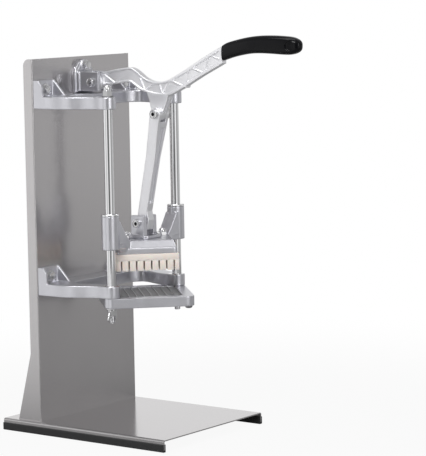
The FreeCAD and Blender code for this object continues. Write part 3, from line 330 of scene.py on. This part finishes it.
def piece(name, bm, material, body, slot, *nodes, crease=32.0, hollow=None):
    """Turns a mesh in the making into a piece that stands for these nodes.

    Edges sharper than `crease` degrees stay sharp, and `hollow` is a second finish, the painted shade inside
    a screw's socket."""
    bmesh.ops.recalc_face_normals(bm, faces=bm.faces)
    for edge in bm.edges:
        edge.smooth = edge.calc_face_angle(0.0) < math.radians(crease)
    for face in bm.faces:
        face.smooth = True
    mesh = bpy.data.meshes.new(name)
    bm.to_mesh(mesh)
    bm.free()
    mesh.materials.append(material)
    if hollow:
        mesh.materials.append(hollow)
    made = bpy.data.objects.new(name, mesh)
    bpy.context.scene.collection.objects.link(made)
    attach(made, body)
    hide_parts(*nodes)
    return made


def plated(name, tone, rough, metal=1.0):
    """Bright plating that is a little clouded and scuffed."""
    f = Finish(name, Metallic=metal)
    cloud = f.noise((160.0, 160.0, 160.0), detail=3.0)
    scuffs = f.noise((1800.0, 1800.0, 300.0))
    f.put(f.shader["Base Color"], f.tint(cloud, [c * 0.86 for c in tone], tone))
    f.put(f.shader["Roughness"], rough + cloud * 0.05 + (scuffs - 0.5) * 0.05)
    f.bump(scuffs, 0.00001, 0.3)
    return f.mat


zinc = plated("zinc_plate", (0.74, 0.74, 0.75), 0.17)
screws, nuts = bmesh.new(), bmesh.new()
for x in (-70.0, 0.0, 70.0):
    seat = stand_on((x, TAB_SCREW_Y, BASE_TOP + SHEET))
    hexagon(screws, 8.0, 3.3, seat, crowned=True)
    thread(screws, M5, -8.8, -0.1, seat)
    hexagon(nuts, 8.0, 4.0, stand_on((x, TAB_SCREW_Y, BASE_TOP - SHEET), "-z"), bore=2.52)
piece("tab_screws", screws, zinc, "stand", "zinc", "panel_screws")
piece("tab_nuts", nuts, zinc, "stand", "zinc", "panel_screw_nuts")

# --- Brackets -----------------------------------------------------------------
# Two like castings in tumbled aluminium: pocketed feet bolted to the panel, a web
# between them, and an arm to a boss on each guide rod. The boss's top is machined.
ROD_X, ROD_Y = 67.0, 45.75
UPPER_LEVEL, LOWER_LEVEL, ARM_THICK = 415.4, 178.4, 15.2
LEVELS = ("upper", UPPER_LEVEL), ("lower", LOWER_LEVEL)
M6 = 3.0, 1.0


def cast_metal(name, metal, dark, light, rough, skin_depth, swell):
    """Cast aluminium with a faintly rough skin, its two depths in millimetres."""
    f = Finish(name, Metallic=metal)
    grains = f.noise((650.0, 650.0, 650.0), detail=4.0, rough=0.6)
    cloud = f.noise((70.0, 70.0, 70.0), detail=2.0)
    f.put(f.shader["Base Color"], f.tint(grains * 0.4 + cloud * 0.6, dark, light))
    f.put(f.shader["Roughness"], rough + (grains - 0.5) * 0.05 + (cloud - 0.5) * 0.06)
    f.bump(grains * skin_depth + cloud * swell, MM, 1.0)
    return f.mat


tumbled = cast_metal("tumbled_casting", 0.95, (0.57, 0.57, 0.605), (0.70, 0.70, 0.74), 0.32, 0.005, 0.16)


def solid_of(node):
    """A node's own closed solid, to be cast."""
    bm = bmesh.new()
    bm.from_mesh(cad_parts[node].data)
    bmesh.ops.remove_doubles(bm, verts=bm.verts, dist=1e-6)
    return bm


def cast(name, bm, material, body, slot, *nodes, voxel=0.7, passes=6, keep=0.3):
    """Melts overlapping solids into one casting and rounds its edges, in millimetres."""
    bmesh.ops.recalc_face_normals(bm, faces=bm.faces)
    bmesh.ops.scale(bm, vec=(1 / MM, 1 / MM, 1 / MM), verts=bm.verts)
    mould = bpy.data.meshes.new(name)
    bm.to_mesh(mould)
    bm.free()
    blank = bpy.data.objects.new(name + "_blank", mould)
    bpy.context.scene.collection.objects.link(blank)
    melt = blank.modifiers.new("melt", "REMESH")
    melt.mode, melt.voxel_size = "VOXEL", voxel
    tumble = blank.modifiers.new("tumble", "SMOOTH")
    tumble.factor, tumble.iterations = 0.5, passes
    thin = blank.modifiers.new("thin", "DECIMATE")
    thin.ratio = keep
    out = bmesh.new()
    shape = bpy.data.meshes.new_from_object(
        blank.evaluated_get(bpy.context.evaluated_depsgraph_get()))
    out.from_mesh(shape)
    bmesh.ops.scale(out, vec=(MM, MM, MM), verts=out.verts)
    bpy.data.objects.remove(blank)
    return piece(name, out, material, body, slot, *nodes, crease=70.0)


machined = plated("machined_face", (0.90, 0.90, 0.91), 0.16)


def machine_tops(made, level, radius):
    """Gives a boss's cut top its own brighter metal."""
    made.data.materials.append(machined)
    for face in made.data.polygons:
        c = face.center / MM
        near = math.hypot(abs(c.x) - ROD_X, c.y - ROD_Y) < radius
        if near and face.normal.z > 0.9 and abs(c.z - level) < 0.8:
            face.material_index = 1


for side, level in LEVELS:
    made = cast(f"{side}_bracket_casting", solid_of(f"{side}_bracket"), tumbled, "stand",
                "cast_aluminium", f"{side}_bracket")
    machine_tops(made, level + ARM_THICK, 10.6)

# Each foot is held by an M6 hex bolt with a washer, and a nut behind the panel.
FOOT_BOLT_X, FOOT_BOLT_RISE, FOOT_BACK = 78.0, 23.2, 5.0
WASHER_THICK = 1.4


def washer(bm, hole, radius, place, thick=WASHER_THICK):
    """A punched washer with its rims turned off."""
    turned(bm, [(hole, 0.0), (radius - 0.2, 0.0), (radius, 0.2), (radius, thick - 0.2),
                (radius - 0.2, thick), (hole, thick)], place, tube=True)


washers, nuts = bmesh.new(), bmesh.new()
for side, level in LEVELS:
    bolts = bmesh.new()
    for x in (-FOOT_BOLT_X, FOOT_BOLT_X):
        z = level + FOOT_BOLT_RISE
        seat = PANEL_FACE - FOOT_BACK
        head = x, seat - WASHER_THICK, z
        washer(washers, 3.2, 8.0, stand_on((x, seat, z), "-y"))
        hexagon(bolts, 10.0, 4.2, stand_on(head, "-y", turn=12.0), crowned=True)
        thread(bolts, M6, 0.1, 14.4, stand_on(head, "+y"))
        hexagon(nuts, 10.0, 5.0, stand_on((x, PANEL_FACE + SHEET, z), "+y"), bore=3.02)
    piece(f"{side}_foot_bolts", bolts, zinc, "stand", "zinc", f"{side}_bracket_bolts")
piece("foot_washers", washers, zinc, "stand", "zinc", "bracket_washers")
piece("foot_nuts", nuts, zinc, "stand", "zinc", "bracket_nuts")

# --- Hinge bracket ------------------------------------------------------------
# A casting bolted to the panel: a stepped flange with a lobe round its upper bolt, and
# two cheeks that hold the lever.
PIVOT_Y, PIVOT_Z = 114.75, 445.0
UPPER_BOLT_Z, LOWER_BOLT_Z = 466.6, 442.5


def slab(bm, outline, low, high, place):
    """A flat plate with this outline."""
    skin(bm, [[(a, b, low) for a, b in outline], [(a, b, high) for a, b in outline]], place)


hinge = solid_of("hinge_bracket")
step = [(-15.6, -12.6), (-15.6, 7.0), (-14.2, 13.4), (-10.6, 19.4), (-6.0, 23.6), (0.0, 25.2),
        (6.0, 23.6), (10.6, 19.4), (14.2, 13.4), (15.6, 7.0), (15.6, -12.6)]
slab(hinge, step, 0.0, 5.6, stand_on((0.0, PANEL_FACE, PIVOT_Z), "-y"))
cast("hinge_bracket_casting", hinge, tumbled, "stand", "cast_aluminium", "hinge_bracket",
     voxel=0.55, passes=5)
bolts, nuts, washers = bmesh.new(), bmesh.new(), bmesh.new()
for z, seat, reach in ((UPPER_BOLT_Z, PANEL_FACE - 8.0, 16.0), (LOWER_BOLT_Z, PANEL_FACE - 11.0, 19.0)):
    hexagon(bolts, 10.0, 4.2, stand_on((0.0, seat, z), "-y", turn=20.0), crowned=True)
    thread(bolts, M6, 0.1, reach, stand_on((0.0, seat, z), "+y"))
    hexagon(nuts, 10.0, 5.0, stand_on((0.0, PANEL_FACE + SHEET, z), "+y"), bore=3.02)
washer(washers, 3.2, 6.6, stand_on((0.0, PANEL_FACE - 6.6, UPPER_BOLT_Z), "-y"))
piece("hinge_bolts", bolts, zinc, "stand", "zinc", "hinge_bracket_bolts")
piece("hinge_washer", washers, zinc, "stand", "zinc", "hinge_bracket_washer")
piece("hinge_nuts", nuts, zinc, "stand", "zinc", "hinge_bracket_nuts")

# The lever turns on an M8 bolt through both cheeks.
CHEEK = 14.0
M8 = 4.0, 1.25
bolt, nut = bmesh.new(), bmesh.new()
seat = -CHEEK, PIVOT_Y, PIVOT_Z
hexagon(bolt, 10.0, 4.4, stand_on(seat, "-x", turn=30.0), crowned=True)
turned(bolt, [(4.0, 0.0), (4.0, 28.4)], stand_on(seat, "+x"))
thread(bolt, M8, 28.0, 35.4, stand_on(seat, "+x"))
hexagon(nut, 13.0, 6.5, stand_on((CHEEK, PIVOT_Y, PIVOT_Z), "+x"), bore=4.02)
piece("pivot_hex_bolt", bolt, zinc, "stand", "zinc", "pivot_bolt")
piece("pivot_hex_nut", nut, zinc, "stand", "zinc", "pivot_nut")

# --- Guide rods ---------------------------------------------------------------
# Hard-chromed 12 mm rods, turned down to M8 at both ends; each carries a washer and a
# chromed cap nut on top.
chrome = Finish("hard_chrome", Metallic=1.0)
haze = chrome.noise((60.0, 60.0, 20.0), detail=3.0)
chrome.put(chrome.shader["Base Color"], chrome.tint(haze, (0.70, 0.70, 0.71), (0.78, 0.78, 0.79)))
chrome.put(chrome.shader["Roughness"], 0.05 + haze * 0.06)
# Zinc plating painted dark as shade: on the rod washers it stands for the shade under the cap nuts. The
# frame's corner screws, under the frame, wear the same dark plating.
shaded_zinc = plated("shaded_zinc", (0.30, 0.30, 0.31), 0.33)
ROD_TOP, ROD_NECK, ROD_FOOT = UPPER_LEVEL + ARM_THICK, LOWER_LEVEL - 14.0, 146.7
ROD_WASHER = 1.6
tops, washers = bmesh.new(), bmesh.new()
for side, x in (("left", -ROD_X), ("right", ROD_X)):
    rod, axis = bmesh.new(), stand_on((x, ROD_Y, 0.0))
    turned(rod, [(5.4, LOWER_LEVEL), (6.0, LOWER_LEVEL + 0.6), (6.0, ROD_TOP - 0.6), (5.4, ROD_TOP)], axis)
    turned(rod, [(4.0, ROD_NECK), (4.0, LOWER_LEVEL + 1.0)], axis)
    turned(rod, [(4.0, ROD_TOP - 1.0), (4.0, ROD_TOP + 9.6)], axis)
    thread(rod, M8, 0.0, ROD_NECK - ROD_FOOT, stand_on((x, ROD_Y, ROD_NECK), "-z"))
    piece(f"rod_{side}", rod, chrome.mat, "stand", "chrome", f"guide_rod_{side}")
    washer(washers, 4.2, 7.4, stand_on((x, ROD_Y, ROD_TOP)), ROD_WASHER)
    cap = stand_on((x, ROD_Y, ROD_TOP + ROD_WASHER), turn=6.8)
    hexagon(tops, 10.8, 6.6, cap, crowned=True)
    turned(tops, [(4.5, 6.2), (4.7, 7.6), (4.8, 8.8), (4.6, 10.2), (4.1, 11.4), (3.3, 12.4),
                  (2.2, 13.2), (1.1, 13.55), (0.1, 13.6)], cap)
piece("rod_cap_pieces", tops, chrome.mat, "stand", "chrome", "rod_cap_nuts")
# The washers under the cap nuts get the zinc painted dark as shade.
piece("rod_washer_pieces", washers, shaded_zinc, "stand", "chrome", "rod_washers")

# --- Blade frame --------------------------------------------------------------
# A square cast ring turned by 45 degrees, slotted for two crossed sets of ground steel
# blades, and drawn up to the lower bracket by two wing nuts.
FRAME_LOW = LOWER_LEVEL - 12.7
cast("blade_frame_casting", solid_of("blade_frame"), tumbled, "stand", "cast_aluminium",
     "blade_frame", voxel=0.6, passes=4)
ground = Finish("ground_steel", Metallic=1.0)
rub = ground.noise((300.0, 300.0, 4000.0), detail=3.0)
ground.put(ground.shader["Base Color"], ground.tint(rub, (0.56, 0.56, 0.57), (0.70, 0.70, 0.71)))
ground.put(ground.shader["Roughness"], 0.3 + rub * 0.12)
ground.bump(rub, 0.00001, 0.3)
for node in ("blades_lengthwise", "blades_crosswise"):
    dress(node, ground.mat)

# A small screw under its front and back corners, and a washer on each rod.
screws, washers = bmesh.new(), bmesh.new()
for y in (ROD_Y - 70.0, ROD_Y + 70.0):
    under = stand_on((0.0, y, FRAME_LOW), "-z")
    turned(screws, [(4.4, 0.0), (4.6, 0.3), (4.6, 1.3), (4.1, 2.3), (3.0, 2.95), (1.7, 3.2), (1.6, 2.2),
                    (0.2, 2.2)], under)
    turned(screws, [(2.4, -5.8), (2.4, 0.2)], under)
for x in (-ROD_X, ROD_X):
    washer(washers, 4.2, 7.6, stand_on((x, ROD_Y, FRAME_LOW), "-z"))
piece("frame_corner_screws", screws, shaded_zinc, "stand", "zinc", "blade_frame_screws")
piece("frame_washers", washers, zinc, "stand", "zinc", "blade_frame_washers")

# The wing nuts are zinc die castings: a tapered hub and two curved ears.
for side, x, turn in (("left", -ROD_X, 13.0), ("right", ROD_X, -40.0)):
    wings = bmesh.new()
    hub = stand_on((x, ROD_Y, FRAME_LOW - WASHER_THICK), "-z", -turn)
    turned(wings, [(4.15, 0.3), (6.4, 0.3), (6.3, 1.2), (4.9, 8.0), (4.15, 8.0)], hub, tube=True)
    for way in (1, -1):
        ear = [(way * a, b) for a, b in ((4.3, 0.8), (7.8, 3.4), (10.6, 6.6), (12.3, 10.2), (12.4, 12.6),
                                         (11.2, 13.8), (9.4, 13.3), (7.2, 10.8), (5.6, 8.6), (4.5, 6.4))]
        slab(wings, ear, -1.15, 1.15, hub @ Matrix.Rotation(math.pi / 2, 4, "X"))
    cast(f"wing_nut_{side}_casting", wings, zinc, f"wing_nut_{side}", "zinc", f"wing_nut_{side}",
         voxel=0.35, passes=4)

# --- Lever --------------------------------------------------------------------
# One slim casting in polished aluminium: raised rims, a zigzag of thin ribs on both
# sides, a lug that the link's fork straddles, and a tongue on the pivot bolt.
polished = cast_metal("polished_casting", 0.85, (0.84, 0.84, 0.865), (0.94, 0.94, 0.965), 0.33, 0.004,
                      0.08)
made = cast("lever_casting", solid_of("lever"), polished, "lever", "cast_aluminium", "lever",
            voxel=0.5, passes=3, keep=0.3)
# The foundry's stub under the arm is ground flush, along these points below the pivot.
UNDERSIDE = [(-115.6, -14.9), (-124.1, -12.0), (-139.8, -4.7)]
for v in made.data.vertices:
    y, z = v.co.y / MM - PIVOT_Y, v.co.z / MM - PIVOT_Z
    for (ya, za), (yb, zb) in zip(UNDERSIDE, UNDERSIDE[1:]):
        level = za + (zb - za) * (ya - y) / (ya - yb)
        if yb <= y <= ya and z < level:
            v.co.z = (level + PIVOT_Z) * MM

# An M8 cap screw with a hexagon socket holds the link's fork on the lug.
LUG_Y, LUG_Z, FORK_SEAT = 16.75, 406.6, 9.9
bolt, nut = bmesh.new(), bmesh.new()


def socket_head(bm, radius, height, key, place):
    """A cap-screw head with a rounded rim, hollowed by its six-sided socket, whose inside takes the painted
    shade.
    """
    around = [2 * math.pi * i / FINE for i in range(FINE)]
    six = six_sided(key, around)

    def ring(radii, level):
        return [(r * math.cos(t), r * math.sin(t), level) for r, t in zip(radii, around)]

    deep = height * 0.7
    rings = [ring([r] * FINE, z) for r, z in ((0.4, 0.0), (radius - 0.3, 0.0), (radius, 0.3),
             (radius, height - 1.2), (radius - 0.35, height - 0.4), (radius - 1.2, height))]
    rings += [ring([r + 0.25 for r in six], height), ring(six, height - 0.25), ring(six, height - deep),
              ring([0.4] * FINE, height - deep - 0.4)]
    faces = skin(bm, rings, place)
    # The socket's walls and floor get the second finish: painted shade.
    for face in faces[FINE * 7:FINE * 9] + faces[-1:]:
        face.material_index = 1


seat, across = (-FORK_SEAT, LUG_Y, LUG_Z), FORK_SEAT * 2
socket_head(bolt, 5.8, 4.2, 4.4, stand_on(seat, "-x"))
turned(bolt, [(4.0, 0.0), (4.0, across + 0.2)], stand_on(seat, "+x"))
thread(bolt, M8, across, across + 7.0, stand_on(seat, "+x"))
hexagon(nut, 13.0, 6.0, stand_on((FORK_SEAT, LUG_Y, LUG_Z), "+x"), bore=4.02)
# Painted shade: a near-black finish on the insides of the hexagon sockets, standing in for the shade in
# them.
socket_shade = Finish("painted_socket_shade", Base_Color=(0.02, 0.02, 0.022, 1), Metallic=0.6)
shade_roughness = socket_shade.noise((700.0, 700.0, 700.0))
socket_shade.put(socket_shade.shader["Roughness"], 0.45 + shade_roughness * 0.3)
piece("lug_cap_screw", bolt, zinc, "lever", "zinc", "lug_bolt", hollow=socket_shade.mat)
piece("lug_hex_nut", nut, zinc, "lever", "zinc", "lug_nut")

# --- Grip ---------------------------------------------------------------------
# Glossy black plastic moulded over the lever's tang: a squarish section that swells
# towards a round end, with a small blind hole in its flat side.
gloss = Finish("gloss_black", Base_Color=(0.0035, 0.0035, 0.0045, 1), Specular_IOR_Level=0.16)
waves = gloss.noise((45.0, 45.0, 45.0))
gloss.put(gloss.shader["Roughness"], 0.06 + waves * 0.04)
gloss.bump(waves, 0.00008, 0.2)
# Each section: y and z of its middle, its lean in degrees, half its height and width.
SECTIONS = [(-200.8, 39.1, 0.0, 9.6, 6.4), (-211.0, 42.6, 13.0, 9.8, 7.4), (-226.0, 46.0, 11.0, 10.0, 8.6),
            (-242.0, 48.6, 7.0, 10.3, 9.4), (-258.0, 49.7, 2.0, 10.8, 9.5), (-275.0, 49.6, -2.0, 11.2, 9.6),
            (-291.0, 48.9, -2.5, 11.3, 9.6), (-302.0, 48.4, -2.5, 10.7, 9.2), (-309.5, 48.1, -2.5, 8.6, 7.6),
            (-313.8, 48.0, -2.5, 5.8, 5.2), (-315.7, 47.9, -2.5, 2.9, 2.6)]


def between(a, b, c, d, t):
    """A smooth value between b and c, a share t of the way, with a and d beyond them."""
    return 0.5 * (2 * b + (c - a) * t + (2 * a - 5 * b + 4 * c - d) * t * t
                  + (3 * b - a - 3 * c + d) * t ** 3)


STEPS, GRIP_ROUND = 12, 120
rings = []
for k in range(len(SECTIONS) - 1):
    around = [SECTIONS[max(0, min(len(SECTIONS) - 1, k + o))] for o in (-1, 0, 1, 2)]
    for step in range(STEPS):
        rings.append([between(*values, step / STEPS) for values in zip(*around)])
rings.append(SECTIONS[-1])
HOLE_Y, HOLE_Z, HOLE_R, HOLE_DEEP = -303.0, 48.3, 6.2, 1.7


def squarish(value, power=0.68):
    """Fills out a circle's cosine or sine towards a rounded square."""
    return math.copysign(abs(value) ** power, value)


def grip_point(y, z, lean, half_tall, half_wide, t):
    """A point of the grip's skin, sunk where the hole is."""
    rise, lean = half_tall * squarish(math.sin(t)), math.radians(lean)
    x, y, z = half_wide * squarish(math.cos(t)), y + rise * math.sin(lean), z + rise * math.cos(lean)
    sunk = min(1.0, max(0.0, (HOLE_R - math.hypot(y - HOLE_Y, z - HOLE_Z)) / 1.4)) if x < 0 else 0.0
    return x + HOLE_DEEP * sunk * sunk * (3 - 2 * sunk), y, z


grip = bmesh.new()
skin(grip, [[grip_point(*ring, 2 * math.pi * i / GRIP_ROUND) for i in range(GRIP_ROUND)] for ring in rings],
     stand_on((0.0, PIVOT_Y, PIVOT_Z)))
piece("grip_moulding", grip, gloss.mat, "lever", "grip_plastic", "grip", crease=60.0)

# --- Link ---------------------------------------------------------------------
# A tapered bar in the lever's polished aluminium, with a channel in each face. Its fork
# hangs on the lever's lug and its foot stands in the clevis.
cast("link_casting", solid_of("link"), polished, "link", "cast_aluminium", "link", voxel=0.55, passes=4)

# --- Carriage -----------------------------------------------------------------
# A casting like the brackets: a raised table over the pusher block, ribbed out to two
# tall bosses. Turned bushes pressed into the bosses run on the rods.
BOSS_LOW, BOSS_TALL, TABLE = 239.5, 42.5, 248.1
cast("carriage_casting", solid_of("carriage"), tumbled, "carriage", "cast_aluminium", "carriage",
     voxel=0.6, passes=6)
top = BOSS_LOW + BOSS_TALL
for side, x in (("left", -ROD_X), ("right", ROD_X)):
    bush = bmesh.new()
    turned(bush, [(6.05, BOSS_LOW - 0.3), (7.8, BOSS_LOW - 0.3), (8.0, BOSS_LOW), (8.0, top), (10.6, top),
                  (11.0, top + 0.4), (11.0, top + 2.0), (10.4, top + 2.6), (6.7, top + 2.6),
                  (6.05, top + 2.0)], stand_on((x, ROD_Y, 0.0)), tube=True)
    piece(f"bush_{side}", bush, machined, "carriage", "bush_steel", f"guide_bush_{side}")

# The clevis is a flanged casting with two ears; two cap screws hold it to the table.
cast("clevis_casting", solid_of("clevis"), tumbled, "carriage", "cast_aluminium", "clevis",
     voxel=0.5, passes=4)
EAR, CLEVIS_Z = 13.4, 267.0
screws, bolt, nut = bmesh.new(), bmesh.new(), bmesh.new()
for x, y in ((11.5, -14.2), (-11.5, 14.2)):
    flange = stand_on((x, ROD_Y + y, TABLE + 4.0))
    socket_head(screws, 3.0, 3.1, 2.5, flange)
    turned(screws, [(1.65, -12.0), (1.65, 0.2)], flange)
seat = -EAR, ROD_Y, CLEVIS_Z
socket_head(bolt, 5.6, 3.4, 4.2, stand_on(seat, "-x"))
turned(bolt, [(3.0, 0.0), (3.0, 27.0)], stand_on(seat, "+x"))
thread(bolt, M6, 26.6, 32.2, stand_on(seat, "+x"))
hexagon(nut, 10.0, 5.0, stand_on((EAR, ROD_Y, CLEVIS_Z), "+x"), bore=3.02)
# The cap screws' sockets take the painted shade.
piece("clevis_cap_screws", screws, zinc, "carriage", "zinc", "clevis_screws", hollow=socket_shade.mat)
piece("clevis_cap_bolt", bolt, zinc, "carriage", "zinc", "clevis_bolt", hollow=socket_shade.mat)
piece("clevis_hex_nut", nut, zinc, "carriage", "zinc", "clevis_nut")

# --- Pusher block -------------------------------------------------------------
# Moulded cream plastic: a slab with nine rows of nine square teeth that pass between
# the blades. Two studs with cap nuts hold it under the carriage.
PUSHER_LOW, SIDE, TALL = 210.5, 79.5, 21.0
SLOT, SLOT_DEPTH, PITCH = 2.0, 12.4, 9.525
cream = Finish("cream_plastic", Subsurface_Weight=0.12, Subsurface_Scale=0.004, Roughness=0.42)
mottle = cream.noise((55.0, 55.0, 55.0), detail=3.0)
cream.put(cream.shader["Base Color"], cream.tint(mottle, (0.84, 0.745, 0.67), (0.93, 0.86, 0.80)))
pits = cream.noise((1500.0, 1500.0, 1500.0))
cream.bump(pits, 0.00003, 0.3)
cream.put(cream.shader["Roughness"], 0.36 + pits * 0.16)
pusher = bmesh.new()


def brick(bm, x0, y0, x1, y1, low, high, place, edge):
    """A block with softened edges."""
    one = bmesh.new()
    slab(one, [(x0, y0), (x1, y0), (x1, y1), (x0, y1)], low, high, Matrix.Identity(4))
    bmesh.ops.recalc_face_normals(one, faces=one.faces)
    bmesh.ops.bevel(one, geom=one.edges[:], offset=edge, segments=2, affect="EDGES", profile=0.5)
    corners = {v: bm.verts.new(place @ v.co) for v in one.verts}
    for face in one.faces:
        bm.faces.new([corners[v] for v in face.verts])
    one.free()


under = stand_on((0.0, ROD_Y, PUSHER_LOW), turn=45.0)
half = SIDE / 2
brick(pusher, -half, -half, half, half, SLOT_DEPTH, TALL, under, 0.7)
cuts = [(k - 3.5) * PITCH for k in range(8)]
starts = [-half] + [c + SLOT / 2 for c in cuts]
ends = [c - SLOT / 2 for c in cuts] + [half]
for x0, x1 in zip(starts, ends):
    for y0, y1 in zip(starts, ends):
        brick(pusher, x0, y0, x1, y1, 0.0, SLOT_DEPTH + 1.6, under, 0.35)
piece("pusher_moulding", pusher, cream.mat, "carriage", "cream_plastic", "pusher_block")

# Two studs rise through the carriage's table, each with a domed cap nut.
studs, domes = bmesh.new(), bmesh.new()
for x, y in ((28.6, -7.6), (-28.6, 7.6)):
    seat = stand_on((x, ROD_Y + y, TABLE))
    turned(studs, [(2.45, -24.0), (2.45, 4.8)], seat)
    hexagon(domes, 10.0, 5.0, seat)
    turned(domes, [(4.5, 4.6), (4.75, 6.0), (4.5, 7.4), (3.8, 8.7), (2.7, 9.6), (1.4, 10.0), (0.1, 10.1)],
           seat)
piece("pusher_stud_pieces", studs, zinc, "carriage", "zinc", "pusher_studs")
piece("pusher_domes", domes, chrome.mat, "carriage", "zinc", "pusher_cap_nuts")
